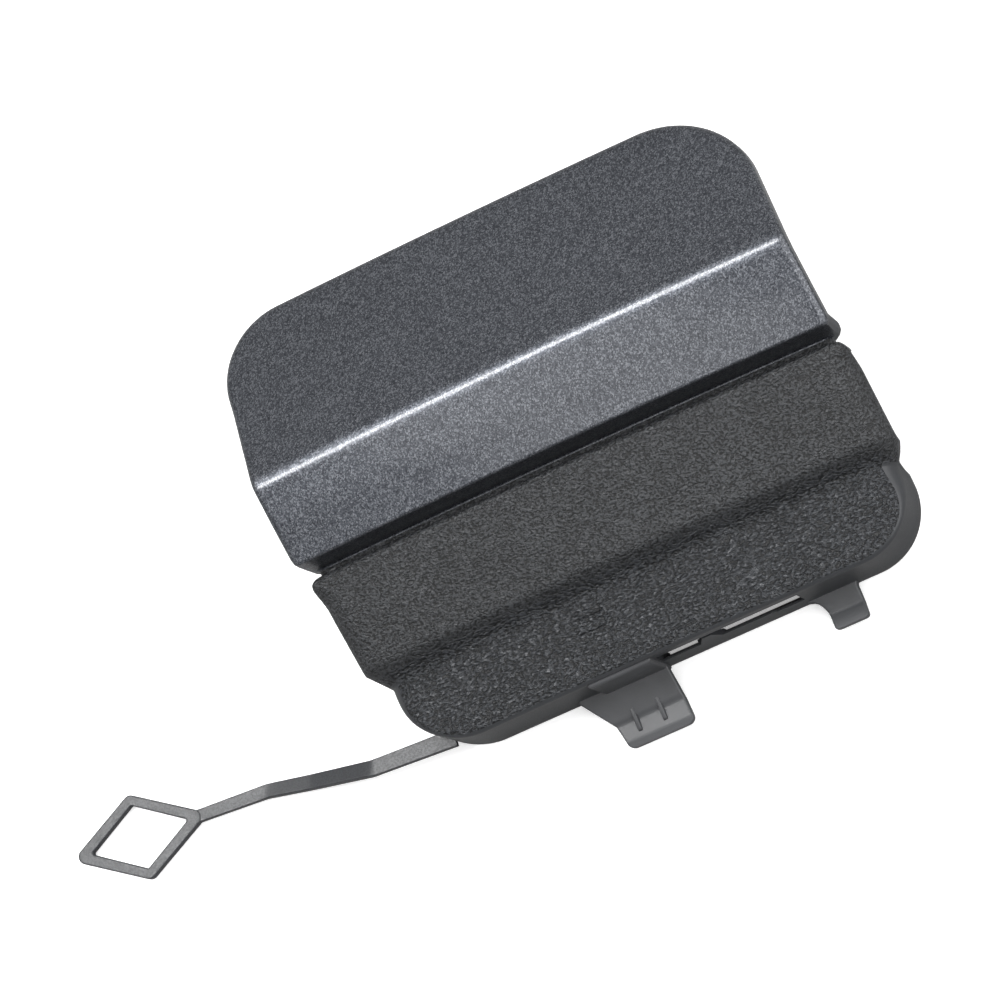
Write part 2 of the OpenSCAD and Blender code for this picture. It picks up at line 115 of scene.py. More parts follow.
mid_top = lower_z + fold_step + band_rise
lip_z = mid_top + lip_step
crease_z = lip_z + crease_rise
fold_end = fold_y + fold_run
groove_end = groove_y + groove_w
BENDS = [(0, lower_z, 0),
         (fold_y, lower_z, foot_r),
         (fold_end, lower_z + fold_step, fold_r),
         ((fold_end + groove_y) / 2, lower_z + fold_step + band_rise * bulge, bulge_r),
         (groove_y, mid_top, groove_edge_r),
         (groove_y + groove_draft, mid_top - groove_d, floor_r),
         (groove_end - groove_draft, mid_top - groove_d, floor_r),
         (groove_end, lip_z, lip_r),
         ((groove_end + crease_y) / 2, lip_z + crease_rise * bulge, bulge_r),
         (crease_y, crease_z, crease_r),
         (body_h, crease_z - top_drop, 0)]


def unit(v):
    return v / np.linalg.norm(v)


def ease(a, b, t):
    s = np.clip((t - a) / (b - a), 0, 1)
    return s * s * (3 - 2 * s)


def bend(a, b, c, r, steps):
    """The bend at b between a and c, as an arc of radius r."""
    u, v = unit(a - b), unit(c - b)
    half = math.acos(max(min(float(u @ v), 1), -1)) / 2
    reach = min(r / math.tan(half), np.linalg.norm(a - b) * 0.46, np.linalg.norm(c - b) * 0.46)
    radius = reach * math.tan(half)
    mid = b + unit(u + v) * radius / math.sin(half)
    p, q = b + u * reach - mid, b + v * reach - mid
    return [mid + radius * unit(p + (q - p) * i / steps) for i in range(steps + 1)]


def chain(pts, steps):
    """A list of bends as a smooth run of points, no two further apart than longest_row."""
    flat = [np.array(p[:2], float) for p in pts]
    run = [flat[0]]
    for i in range(1, len(pts) - 1):
        run += bend(flat[i - 1], flat[i], flat[i + 1], pts[i][2], steps)
    run.append(flat[-1])
    dense = [run[0]]
    for p, q in zip(run, run[1:]):
        n = max(1, math.ceil(np.linalg.norm(q - p) / longest_row))
        dense += [p + (q - p) * k / n for k in range(1, n + 1)]
    return np.array(dense)


def inner_bends(t):
    """The bends moved inwards by a thickness, measured square to the face."""
    flat = np.array([p[:2] for p in BENDS], float)
    step = np.diff(flat, axis=0)
    along = step / np.linalg.norm(step, axis=1)[:, None]
    base = flat[:-1] - np.stack([-along[:, 1], along[:, 0]], 1) * t
    out = [(0, lower_z - t, 0)]
    for i in range(1, len(BENDS) - 1):
        m, n = along[i - 1], along[i]
        w = m[0] * n[1] - m[1] * n[0]
        d = base[i] - base[i - 1]
        p = base[i - 1] + m * (d[0] * n[1] - d[1] * n[0]) / w
        out.append((p[0], p[1], max(BENDS[i][2] - t, min_r) if w < 0 else BENDS[i][2] + t / 2))
    end = base[-1] + along[-1] * (body_h - base[-1][0]) / along[-1][0]
    out.append((body_h, end[1], 0))
    return out


FRONT = chain(BENDS, arc_steps)
BACK = chain(inner_bends(wall), arc_steps)
groove_mid = groove_y + groove_w / 2
low_block, top_block = max(low_left_r, low_right_r), max(top_left_r, top_right_r)
low_c = low_block
top_c = body_h - top_block
top_half = (body_w + (top_w - body_w) * (top_c - crease_y) / (body_h - crease_y)) / 2
NOTCH = [(-3.2, 0), (-2.2, 0.13), (-1.4, 0.42), (-0.9, 1), (0.4, 1), (1, 0.4), (1.9, 0.1), (3, 0)]
HALF_W = np.array([(0, lower_w / 2), (fold_y - 0.5, lower_w / 2), (fold_end, body_w / 2 - 0.3)]
                  + [(groove_mid + a, body_w / 2 - notch_d * b) for a, b in NOTCH]
                  + [(crease_y, body_w / 2), (top_c, top_half), (body_h, top_half)])


def front_z(y):
    return np.interp(y, FRONT[:, 0], FRONT[:, 1])


def back_z(y):
    return np.interp(y, BACK[:, 0], BACK[:, 1])


def half_w(y, t):
    return np.min([np.interp(y + d * t, HALF_W[:, 0], HALF_W[:, 1]) for d in (-1, 0, 1)], axis=0)


def lean(y):
    return math.tan(side_slant) * (groove_mid - y)


def crown_at(x):
    return crown * (2 * x / body_w) ** 2


def turn_r(y, t):
    share = ease(low_block * 0.3, low_block * 1.1, y) * (1 - ease(groove_y - 6, groove_y - 0.5, y))
    r = np.where(y > groove_mid, edge_r, edge_r + (side_r - edge_r) * share)
    return np.maximum(r - t, min_r if t > 0 else 0)


def rim_z(x, y):
    """Height of the side walls' lower edge: the rear rim at the skirt, and a flange above the fold."""
    below_face = front_z(y) - np.maximum(flange_d, turn_r(y, 0) + 1.2)
    below_back = back_z(y) - turn_r(y, wall) - 0.6
    return (np.minimum(below_face, below_back) - crown_at(x)) * ease(fold_y - 1, fold_y + 0.4, y)


def corner_x(y):
    share = np.clip((y - low_c) / (top_c - low_c), 0, 1)
    a, b = lower_w / 2 - low_block, top_half - top_block
    return a + (b - a) * share


def places(heights):
    """Grid places: (side, share of the corner block) across and (height, share of the corner block) up."""
    cols = ([(-1, k / corner_cols) for k in range(corner_cols, 0, -1)]
            + [(2 * k / band_cols - 1, 0) for k in range(band_cols + 1)]
            + [(1, k / corner_cols) for k in range(1, corner_cols + 1)])
    ys = []
    for y in np.sort(heights):
        if low_c + 0.2 < y < top_c - 0.2 and (not ys or y - ys[-1] > 0.02):
            ys.append(y)
    steps = range(1, corner_cols + 1)
    rows = ([(low_c, -k / corner_cols) for k in reversed(steps)] + [(low_c, 0)]
            + [(y, 0) for y in ys] + [(top_c, 0)] + [(top_c, k / corner_cols) for k in steps])
    return np.array(cols, float), np.array(rows, float)


def corner_at(phi, block, r, e):
    """Place on a corner's outline, e inside it: a corner of radius r in a square block."""
    k = block - r
    run = 2 * k + math.pi * r / 2
    s = phi / (math.pi / 2) * run
    psi = (s - k) / r
    first, third = s < k, s > run - k
    return (np.where(first, block - e, np.where(third, run - s, k + (r - e) * np.cos(psi))),
            np.where(first, s, np.where(third, block - e, k + (r - e) * np.sin(psi))))


def skin(cols, rows, t, turn):
    """Points of the skin t inside the face. The turn is 0 on the face and 90 degrees at the wall."""
    s, a = cols[:, 0], cols[:, 1]
    y0, row = rows[:, 0], rows[:, 1]
    b, upper = np.abs(row), row > 0
    block = np.where(upper, top_block, low_block)
    rc = np.where(upper, np.where(s < 0, top_left_r, top_right_r), np.where(s < 0, low_left_r, low_right_r))
    dx, dy = a * np.sqrt(1 - b * b / 2), b * np.sqrt(1 - a * a / 2)
    phi, far = np.arctan2(dy, dx), np.hypot(dx, dy)
    rise = np.where(b == 0, 0, np.where(a == 0, block, corner_at(phi, block, rc, 0)[1]))
    r = turn_r(y0 + np.sign(row) * rise, t)
    e = t + r * (1 - math.sin(turn))
    cx = corner_x(y0)
    qx, qy = corner_at(phi, block, rc, e)
    qx = np.where(a == 0, 0, np.where(b == 0, a * (half_w(y0, t) - e - cx), far * qx))
    qy = np.where(a == 0, b * (block - e), np.where(b == 0, 0, far * qy))
    x = s * (cx + qx)
    y = y0 + np.sign(row) * qy
    z = (back_z(y) if t > 0 else front_z(y)) - crown_at(x) - r * (1 - math.cos(turn))
    return np.stack([x, y, z], 1)


def grid(cols, rows, t):
    c = np.tile(cols, (len(rows), 1))
    r = np.repeat(rows, len(cols), axis=0)
    return skin(c, r, t, 0)


def loop_places(m, n):
    """The grid's boundary, once round, as (column, row) numbers."""
    return ([(j, 0) for j in range(m)] + [(m, i) for i in range(n)]
            + [(j, n) for j in range(m, 0, -1)] + [(0, i) for i in range(n, 0, -1)])


def placed(points, slanted=False):
    """From the moulding's millimetres to the frame's metres. The shell also gets the slant of its sides."""
    p = np.array(points, float)
    if slanted:
        p[:, 0] += lean(p[:, 1])
    p[:, 1] -= body_h / 2
    return p * MM


def new_mesh(name, verts, faces, material, smooth=True):
    mesh = bpy.data.meshes.new(name)
    mesh.from_pydata([tuple(map(float, v)) for v in verts], [], [tuple(map(int, f)) for f in faces])
    mesh.validate()
    mesh.update()
    if smooth:
        mesh.shade_smooth()
    obj = bpy.data.objects.new(name, mesh)
    bpy.context.scene.collection.objects.link(obj)
    obj.data.materials.append(material)
    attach(obj, "root")
    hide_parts("cover")
    return obj


def shell_mesh():
    """The moulded shell as one closed surface: points, quads and a tag for each quad."""
    cols, rows = places(np.concatenate([FRONT[:, 0], BACK[:, 0]]))
    m, n = len(cols), len(rows)
    loop = loop_places(m - 1, n - 1)
    lc = cols[[j for j, i in loop]]
    lr = rows[[i for j, i in loop]]
    outer = [skin(lc, lr, 0, math.pi / 2 * k / arc_steps) for k in range(1, arc_steps + 1)]
    inner = [skin(lc, lr, wall, math.pi / 2 * k / 4) for k in range(4, 0, -1)]
    o, i = outer[-1], inner[0]

    def at_rim(share, up):
        p = o + (i - o) * share
        p[:, 2] = rim_z(p[:, 0], p[:, 1]) + up
        return p
    foot = at_rim(0, rim_edge)
    walls = [o + (foot - o) * share for share in (0.25, 0.5, 0.75)]
    rim = [foot, at_rim(0.04, rim_edge * 0.3), at_rim(0.14, 0), at_rim(0.86, 0), at_rim(0.96, rim_edge * 0.3),
           at_rim(1, rim_edge)]
    rings = outer + walls + rim + inner
    points = np.concatenate([grid(cols, rows, 0)] + rings + [grid(cols, rows, wall)])
    size = len(loop)
    back0 = m * n + len(rings) * size
    strips = [[i * m + j for j, i in loop]]
    strips += [[m * n + k * size + l for l in range(size)] for k in range(len(rings))]
    strips += [[back0 + i * m + j for j, i in loop]]
    quads, tags = [], []
    for i in range(n - 1):
        for j in range(m - 1):
            a = i * m + j
            b = back0 + a
            quads += [(a, a + 1, a + m + 1, a + m), (b, b + m, b + m + 1, b + 1)]
            tags += ["face", "inside"]
    for k in range(len(strips) - 1):
        tag = ("face" if k < 4 else "turn" if k < len(outer) else "wall" if k < len(outer) + len(walls) + 2
               else "inside")
        for l in range(size):
            q = (l + 1) % size
            quads.append((strips[k][l], strips[k + 1][l], strips[k + 1][q], strips[k][q]))
            tags.append(tag)
    return points, quads, tags


def loft(sections, r, close=True):
    """A solid through rounded rectangles. A section is (centre, across, up, half width, half height)."""
    corner = [(1, -0.4)] + [(math.cos(a), math.sin(a)) for a in np.linspace(0, math.pi / 2, 4)] + [(-0.4, 1)]
    verts, faces = [], []
    size = 4 * len(corner)
    for centre, across, up, w, h in sections:
        q = min(r, w * 0.68, h * 0.68)
        for sx, sy, turned in ((1, 1, False), (-1, 1, True), (-1, -1, False), (1, -1, True)):
            for c, s in (reversed(corner) if turned else corner):
                verts.append(centre + across * sx * (w - q + q * c) + up * sy * (h - q + q * s))
    for k in range(len(sections) - 1):
        for l in range(size):
            a, b = k * size + l, k * size + (l + 1) % size
            faces.append((a, b, b + size, a + size))
    if close:
        faces.append(tuple(reversed(range(size))))
        faces.append(tuple(range((len(sections) - 1) * size, len(sections) * size)))
    return verts, faces


def joined(parts):
    """Several lists of points and faces as one."""
    verts, faces = [], []
    for v, f in parts:
        base = len(verts)
        verts += [np.array(p, float) for p in v]
        faces += [tuple(base + k for k in face) for face in f]
    return verts, faces


def prism(outline, axis, centre, width):
    """An outline drawn as (distance up the face, height) or (across, distance), given a width along axis."""
    n = len(outline)
    verts = []
    for s in (-0.5, 0.5):
        for u, v in outline:
            verts.append((centre + s * width, u, v) if axis == "x" else (u, centre + s * width, v))
    faces = [tuple(reversed(range(n))), tuple(range(n, 2 * n))]
    faces += [(k, (k + 1) % n, (k + 1) % n + n, k + n) for k in range(n)]
    return verts, faces


def bevelled(obj, width, segments=2, angle=30):
    """Rounds the edges of a piece and keeps the result in its mesh."""
    mod = obj.modifiers.new("round", "BEVEL")
    mod.width = width * MM
    mod.segments = segments
    mod.limit_method = "ANGLE"
    mod.angle_limit = math.radians(angle)
    mod.use_clamp_overlap = True
    keep_modifiers(obj)


def keep_modifiers(obj):
    bpy.context.view_layer.update()
    deps = bpy.context.evaluated_depsgraph_get()
    mesh = bpy.data.meshes.new_from_object(obj.evaluated_get(deps))
    old = obj.data
    obj.modifiers.clear()
    obj.data = mesh
    bpy.data.meshes.remove(old)
    mesh.name = obj.name


def fix_normals(mesh):
    bm = bmesh.new()
    bm.from_mesh(mesh)
    bmesh.ops.recalc_face_normals(bm, faces=bm.faces)
    bm.to_mesh(mesh)
    bm.free()


def arc(cx, cy, r, a0, steps):
    """A quarter circle that starts at a0 degrees."""
    turns = [math.radians(a0 + 90 * i / steps) for i in range(steps + 1)]
    return [(cx + r * math.cos(a), cy + r * math.sin(a)) for a in turns]


def rib_wall(path, d, t):
    """A rib of thickness t along a path on the face, between depth d and just inside the rear skin."""
    path = np.array(path, float)
    out = np.zeros_like(path)
    step = np.gradient(path, axis=0)
    step /= np.linalg.norm(step, axis=1)[:, None]
    out[:, 0], out[:, 1] = step[:, 1], -step[:, 0]
    verts, faces = [], []
    for p, o in zip(path, out):
        for s, e in ((-1, 0.3), (-1, 0), (-0.7, -0.3), (0.7, -0.3), (1, 0), (1, 0.3)):
            q = p + o * s * t / 2
            verts.append((q[0], q[1], back_z(p[1]) - d + 0.3 + e))
        for s in (1, -1):
            q = p + o * s * t / 2
            verts.append((q[0], q[1], back_z(q[1]) + rib_root))
    n = 8
    for k in range(len(path) - 1):
        for l in range(n):
            a, b = k * n + l, k * n + (l + 1) % n
            faces.append((a, a + n, b + n, b))
    faces += [tuple(range(n)), tuple(reversed(range((len(path) - 1) * n, len(path) * n)))]
    return verts, faces


def dense(points, gap=0.8):
    out = [np.array(points[0], float)]
    for p, q in zip(points, points[1:]):
        p, q = np.array(p, float), np.array(q, float)
        k = max(1, math.ceil(np.linalg.norm(q - p) / gap))
        out += [p + (q - p) * i / k for i in range(1, k + 1)]
    return out


def rear_ribs():
    """The locating rib, the two lengthwise ribs and the three cross ribs."""
    half, r = rib_half - rib_t / 2, rib_corner_r - rib_t / 2
    y1 = rib_y1 - rib_t / 2
    u = ([(half, fold_end)] + arc(half - r, y1 - r, r, 0, 10) + arc(r - half, y1 - r, r, 90, 10)
         + [(-half, fold_end)])
    parts = [rib_wall(dense([(x + lean(y), y) for x, y in u]), locate_d, rib_t)]
    for s in (-1, 1):
        parts.append(rib_wall(dense([(s * rib_x, rib_y0), (s * rib_x, y1)]), rib_d, rib_t))
    for y in ((fold_end + groove_y) / 2, (groove_end + crease_y) / 2, (crease_y + rib_y1) / 2):
        y += rib_t / 2
        parts.append(rib_wall([(lean(y) - half + half * k / 20, y) for k in range(41)], rib_d + crown, rib_t))
    return joined(parts)


def snap_profile(l, t):
    """Side profile of a snap leg of length l and thickness t with its barb."""
    return [(0, 0), (0, -l), (t * 0.6, -l), (t + hook_barb, barb_lead - l),
            (t, barb_lead + barb_back - l), (t, 0)]


def snap_clips():
    """Two snap legs along the upper edge and one at each side."""
    parts = []
    y = rib_y1 - rib_t
    top = float(back_z(y)) + rib_root - leg_root
    for s in (-1, 1):
        leg = [(y + u, top + v) for u, v in snap_profile(top, clip_t)]
        parts.append(prism(leg, "x", lean(y) + s * hook_gap / 2, hook_w))
    y = crease_y + hook_w / 4
    top = float(back_z(y)) + rib_root - crown
    for s in (-1, 1):
        edge = lean(y) + s * (rib_half - rib_t)
        leg = [(edge + s * u, top + v) for u, v in snap_profile(side_hook_l, clip_t)]
        parts.append(prism(leg, "y", y, hook_w))
    return joined(parts)


X, Y, Z = np.eye(3)


def span(y, x0, x1, z0, z1):
    """A section for loft at the distance y up the face."""
    return (np.array([(x0 + x1) / 2, y, (z0 + z1) / 2]), X, Z, (x1 - x0) / 2, (z1 - z0) / 2)


def tongue():
    """The tongue with its two small beads, and the boss that joins it to the skirt."""
    left = clip_x - clip_w
    shoulder = left - clip_gusset
    rows = []
    for y in np.linspace(wall / 2, tip_r - clip_l, 30):
        x0 = np.interp(y, [tip_r - clip_l, -clip_knee, -step_d, wall / 2],
                       [left, left - boss_d, shoulder, shoulder])
        x1 = np.interp(y, [tip_r - clip_l, wall / 2], [clip_x, clip_x - boss_d])
        rows.append((y, x0, x1))
    for dx, dy in arc(tip_r, tip_r, tip_r, 180, 6)[1:]:
        rows.append((dy - clip_l, left + dx, clip_x - dx))
    root = clip_t + clip_fall
    high = lambda y: np.interp(y, [-clip_l, tip_r - clip_l, -clip_knee, 0.6 - clip_knee, 0, wall / 2],
                               [clip_t * 0.8, clip_t, clip_t, clip_t + step_d, root, root])
    low = lambda y: np.interp(y, [-clip_l, -clip_knee, 0, wall / 2], [0.2, 0, clip_fall, clip_fall])
    parts = [loft([span(y, a, b, low(y), high(y)) for y, a, b in rows], 0.35)]
    bead = [(bead_l / 2, 0.2), (bead_l / 2 - 0.5, 1), (0.5 - bead_l / 2, 0.6), (-bead_l / 2, 0.1)]
    for share in (0.22, 0.6):
        x = left + clip_w * share
        rows = [span(y - clip_knee, x, x + bead_w, clip_t - step_d, clip_t + z) for y, z in bead]
        parts.append(loft(rows, 0.25))
    top = lower_z - edge_r - 0.2
    right = clip_x - boss_d
    boss = [span(y, left, right, 0.2, top) for y in (wall - boss_d, 0.4 - boss_d)]
    boss.append(span(-boss_d, left + 0.4, right - 0.4, 0.6, top - 0.4))
    return parts + [loft(boss, 0.4)]


def tab():
    """The small tab at the right, which widens towards the skirt and bends up at its tip."""
    rows = []
    edge = tab_x - tab_w
    for y in np.concatenate([[wall / 2, 0.6], np.linspace(0, 0.5 - tab_l, 18)]):
        t = np.clip(-y / (tab_root * 1.3), 0, 1)
        x0 = edge - tab_root * (1 - math.sin(math.acos(1 - t))) + 0.4 * np.clip(-y / tab_l, 0, 1)
        rows.append((y, x0, tab_x + np.clip(0.3 + y / 2, 0, 0.3)))
    rows += [(0.15 - tab_l, edge + 0.6, tab_x - 0.2), (-tab_l, edge + 1, tab_x - 0.6)]
    at = [-tab_l, -tab_l * tab_bend, 0, wall / 2]
    root = clip_t + tab_fall
    high = lambda y: np.interp(y, at, [clip_t + 1, clip_t + 0.1, root, root])
    low = lambda y: np.interp(y, at, [1, 0.1, tab_fall / 2, tab_fall / 2])
    return [loft([span(y, a, b, low(y), high(y)) for y, a, b in rows], 0.35)]


def rhombus(l, w, r, steps):
    """A rhombus whose rounded corners reach the given length and width."""
    half = math.atan(w / l)
    a, b = l / 2 + r * (1 / math.sin(half) - 1), w / 2 + r * (1 / math.cos(half) - 1)
    c = [np.array(v, float) for v in ((a, 0), (0, b), (-a, 0), (0, -b))]
    out = []
    for i in range(4):
        out += bend(c[(i + 3) % 4], c[i], c[(i + 1) % 4], r, steps)
    return np.array(out)


def strap(route):
    """The flat strap, with a crisp fold at each point of its route."""
    fold = 0.7
    line = [route[0]]
    for a, b, c in zip(route, route[1:], route[2:]):
        u, v = unit(a - b), unit(c - b)
        for t in np.linspace(0, 1, 5):
            line.append(b + u * fold * (1 - t) ** 2 + v * fold * t ** 2)
    line.append(route[-1])
    line = np.array(dense(line, 1.2))
    far = np.concatenate([[0], np.cumsum(np.linalg.norm(np.diff(line, axis=0), axis=1))])
    go = np.gradient(line, axis=0)
    folds = route[1:-1, 0]
    at = [folds[2] - 1, folds[2] + 1, folds[1] - 1, folds[1] + 1, folds[0] - 1, folds[0] + 1]
    twist = np.radians(np.interp(line[:, 0], at, [0, 12, 12, 15, 15, 0]))
    sections = []
    for p, g, f, a in zip(line, go, far / far[-1], twist):
        side = unit(np.array([-g[1], g[0], 0]))
        w = strap_w + (strap_end_w - strap_w) * f
        over = Z * math.cos(a) - side * math.sin(a)
        sections.append((p + Z * strap_t / 2, side * math.cos(a) + Z * math.sin(a), over, w / 2, strap_t / 2))
    return loft(sections, 0.2)


def eye(end):
    """The rhombic eye at the strap's end, as one ring."""
    outer = rhombus(eye_l, eye_w, eye_r, 8)
    half = math.atan(eye_w / eye_l)
    hole_l = eye_l - 2 * eye_bar / math.sin(half) + 0.6
    hole_w = eye_w - 2 * eye_bar / math.cos(half) + 0.3
    inner = rhombus(hole_l, hole_w, 0.4, 8)
    h = strap_t + eye_more
    edge = [(0, 0.3), (0, 0.2), (0.03, 0.06), (0.1, 0), (0.15, 0)]
    shape = edge + [(1 - a, z) for a, z in reversed(edge)]
    shape += [(a, h - z) for a, z in reversed(shape)]
    n, m = len(outer), len(shape)
    verts, faces = [], []
    c, s = math.cos(eye_tilt), math.sin(eye_tilt)
    for o, i in zip(outer, inner):
        for share, z in shape:
            q = o + (i - o) * share + [eye_lap - eye_l / 2, 0]
            verts.append((end[0] + q[0] * c + q[1] * s, end[1] - q[0] * s + q[1] * c, z))
    for k in range(n):
        for l in range(m):
            a, b = k * m + l, k * m + (l + 1) % m
            e = ((k + 1) % n - k) * m
            faces.append((a, b, b + e, a + e))
    return verts, faces


def tether():
    route = np.array([(x - lower_w / 2, y, z) for x, y, z in STRAP_ROUTE], float)
    return joined([strap(route), eye(route[-1])])


def mark():
    """Two plain raised bars on the lower band."""
    parts = []
    for y in mark_y:
        rows = []
        for x in np.linspace(mark_x0, mark_x1, 13):
            z = float(front_z(y)) - crown_at(x)
            rows.append((np.array([x, y, z]), Y, Z, mark_w / 2, mark_d))
        parts.append(loft(rows, 0.2))
    return joined(parts)


# Materials
def material(name, rough, metal=0, specular=0.5):
    mat = bpy.data.materials.new(name)
    mat.use_nodes = True
    tree = mat.node_tree
    shader = tree.nodes["Principled BSDF"]
    shader.inputs["Roughness"].default_value = rough
    shader.inputs["Metallic"].default_value = metal
    shader.inputs["Specular IOR Level"].default_value = specular
    return mat, tree, shader


def node(tree, kind, **values):
    made = tree.nodes.new(kind)
    for key, value in values.items():
        if key in made.inputs:
            made.inputs[key].default_value = value
        else:
            setattr(made, key, value)
    return made


def coords(tree):
    return tree.nodes.new("ShaderNodeTexCoord").outputs["Object"]


def ramp(tree, source, stops):
    made = tree.nodes.new("ShaderNodeValToRGB")
    made.color_ramp.elements[0].position, made.color_ramp.elements[0].color = stops[0][0], (*stops[0][1], 1)
    made.color_ramp.elements[1].position, made.color_ramp.elements[1].color = stops[-1][0], (*stops[-1][1], 1)
    for at, colour in stops[1:-1]:
        made.color_ramp.elements.new(at).color = (*colour, 1)
    tree.links.new(source, made.inputs["Fac"])
    return made.outputs["Color"]


def span_of(tree, source, a, b, c, d):
    made = node(tree, "ShaderNodeMapRange")
    for key, value in (("From Min", a), ("From Max", b), ("To Min", c), ("To Max", d)):
        made.inputs[key].default_value = value
    tree.links.new(source, made.inputs["Value"])
    return made.outputs["Result"]


def plastic(name, colour, rough, specular=0.5, ridge=0, stretch=1.0, depth=0.0, painted_valley_shade=0.15):
    """Black moulded plastic with fine mottling. With a ridge width it has a leather grain of that width, with
    painted shade in its valleys and a painted highlight on its crests.
    """
    mat, tree, shader = material(name, rough, specular=specular)
    link, rough_in = tree.links.new, shader.inputs["Roughness"]
    at = coords(tree)
    broad = node(tree, "ShaderNodeTexNoise", Scale=110.0, Detail=3.0)
    fine = node(tree, "ShaderNodeTexNoise", Scale=5200.0, Detail=2.0)
    for tex in (broad, fine):
        link(at, tex.inputs["Vector"])
    tone = node(tree, "ShaderNodeMix", data_type="RGBA", blend_type="MULTIPLY")
    tone.inputs[0].default_value = 1.0
    dim, full = tuple(c * 0.9 for c in colour), tuple(c * 1.1 for c in colour)
    link(ramp(tree, broad.outputs["Fac"], [(0.35, dim), (0.65, full)]), tone.inputs[6])
    height = fine.outputs["Fac"]
    if ridge:
        turned = node(tree, "ShaderNodeMapping")
        turned.inputs["Scale"].default_value = (1 / stretch, 1, 1)
        link(at, turned.inputs["Vector"])
        winding = node(tree, "ShaderNodeTexNoise", Scale=0.5 / (ridge * MM), Detail=1.2, Roughness=0.5,
                       Distortion=0.5)
        link(turned.outputs["Vector"], winding.inputs["Vector"])
        crest = span_of(tree, winding.outputs["Fac"], 0.33, 0.67, 0.0, 1.0)
        blend = node(tree, "ShaderNodeMix", data_type="FLOAT")
        blend.inputs[0].default_value = 0.10
        link(crest, blend.inputs[2])
        link(fine.outputs["Fac"], blend.inputs[3])
        height = blend.outputs[0]
        # The grain's valleys are darkened and its crests lightened in the base colour: painted shade and
        # painted highlight.
        link(ramp(tree, crest, [(0.2, (painted_valley_shade,) * 3), (0.75, (1.25,) * 3)]), tone.inputs[7])
        link(span_of(tree, crest, 0.0, 1.0, rough + 0.10, rough - 0.05), rough_in)
    else:
        depth = 0.012
        tone.inputs[7].default_value = (1, 1, 1, 1)
        link(span_of(tree, fine.outputs["Fac"], 0.3, 0.7, rough - 0.05, rough + 0.05), rough_in)
    link(tone.outputs[2], shader.inputs["Base Color"])
    bump = node(tree, "ShaderNodeBump", Strength=1.0, Distance=depth * MM)
    link(height, bump.inputs["Height"])
    link(bump.outputs["Normal"], shader.inputs["Normal"])
    return mat


def paint():
    """Dark grey metallic paint under a clear coat. The flakes are the paint's own; their sparkle is painted
    glint in the base colour, with a fine noise bump over the surface.
    """
    mat, tree, shader = material("grey_paint", 0.38, metal=0.8)
    link = tree.links.new
    at = coords(tree)
    flakes = node(tree, "ShaderNodeTexVoronoi", Scale=4200.0)
    fine = node(tree, "ShaderNodeTexNoise", Scale=2600.0, Detail=2.0)
    broad = node(tree, "ShaderNodeTexNoise", Scale=45.0, Detail=2.0)
    for tex in (flakes, fine, broad):
        link(at, tex.inputs["Vector"])
    # The flake cells run from dark to bright in the base colour: painted glints.
    dark, plain, painted_glint = (0.018, 0.0205, 0.027), (0.062, 0.0668, 0.079), (0.190, 0.200, 0.220)
    base = ramp(tree, flakes.outputs["Color"], [(0.1, dark), (0.55, plain), (0.95, painted_glint)])
    tone = node(tree, "ShaderNodeMix", data_type="RGBA", blend_type="MULTIPLY")
    tone.inputs[0].default_value = 1.0
    link(base, tone.inputs[6])
    link(ramp(tree, broad.outputs["Fac"], [(0.3, (0.94,) * 3), (0.7, (1.0,) * 3)]), tone.inputs[7])
    link(tone.outputs[2], shader.inputs["Base Color"])
    bump = node(tree, "ShaderNodeBump", Strength=0.5, Distance=0.00003)
    link(fine.outputs["Fac"], bump.inputs["Height"])
    link(bump.outputs["Normal"], shader.inputs["Normal"])
    ripple = node(tree, "ShaderNodeBump", Strength=0.5, Distance=0.00001)
    link(fine.outputs["Fac"], ripple.inputs["Height"])
    link(ripple.outputs["Normal"], shader.inputs["Coat Normal"])
    shader.inputs["Coat Weight"].default_value = 0.7
    shader.inputs["Coat Roughness"].default_value = 0.13
    shader.inputs["Coat IOR"].default_value = 1.5
    return mat


# Pieces
grain_top = plastic("grain_middle", (0.027, 0.0285, 0.031), 0.40, specular=0.40, ridge=0.23, stretch=1.2,
                    depth=0.23)
# The lower band's grained plastic is a slightly darker copy of the middle band's: painted shade.
grain_low = plastic("grain_lower", (0.024, 0.0258, 0.029), 0.38, specular=0.36, ridge=0.25, stretch=1.5,
                    depth=0.38)
smooth = plastic("smooth_plastic", (0.024, 0.0255, 0.0285), 0.36, specular=0.5)
# The lower clips get a lighter copy of the black plastic's colour: painted light for their brighter look.
lightened_clips = plastic("lightened_clip_plastic", (0.045, 0.0465, 0.050), 0.42, specular=0.5)
# The strap's plastic has a fine grain whose valleys are a little darker and crests lighter in the base
# colour: painted shade and painted highlight.
strap_grain = plastic("strap_grain_plastic", (0.026, 0.0275, 0.0305), 0.36, specular=0.5, ridge=0.17, depth=0.008,
               painted_valley_shade=0.8)
painted = paint()


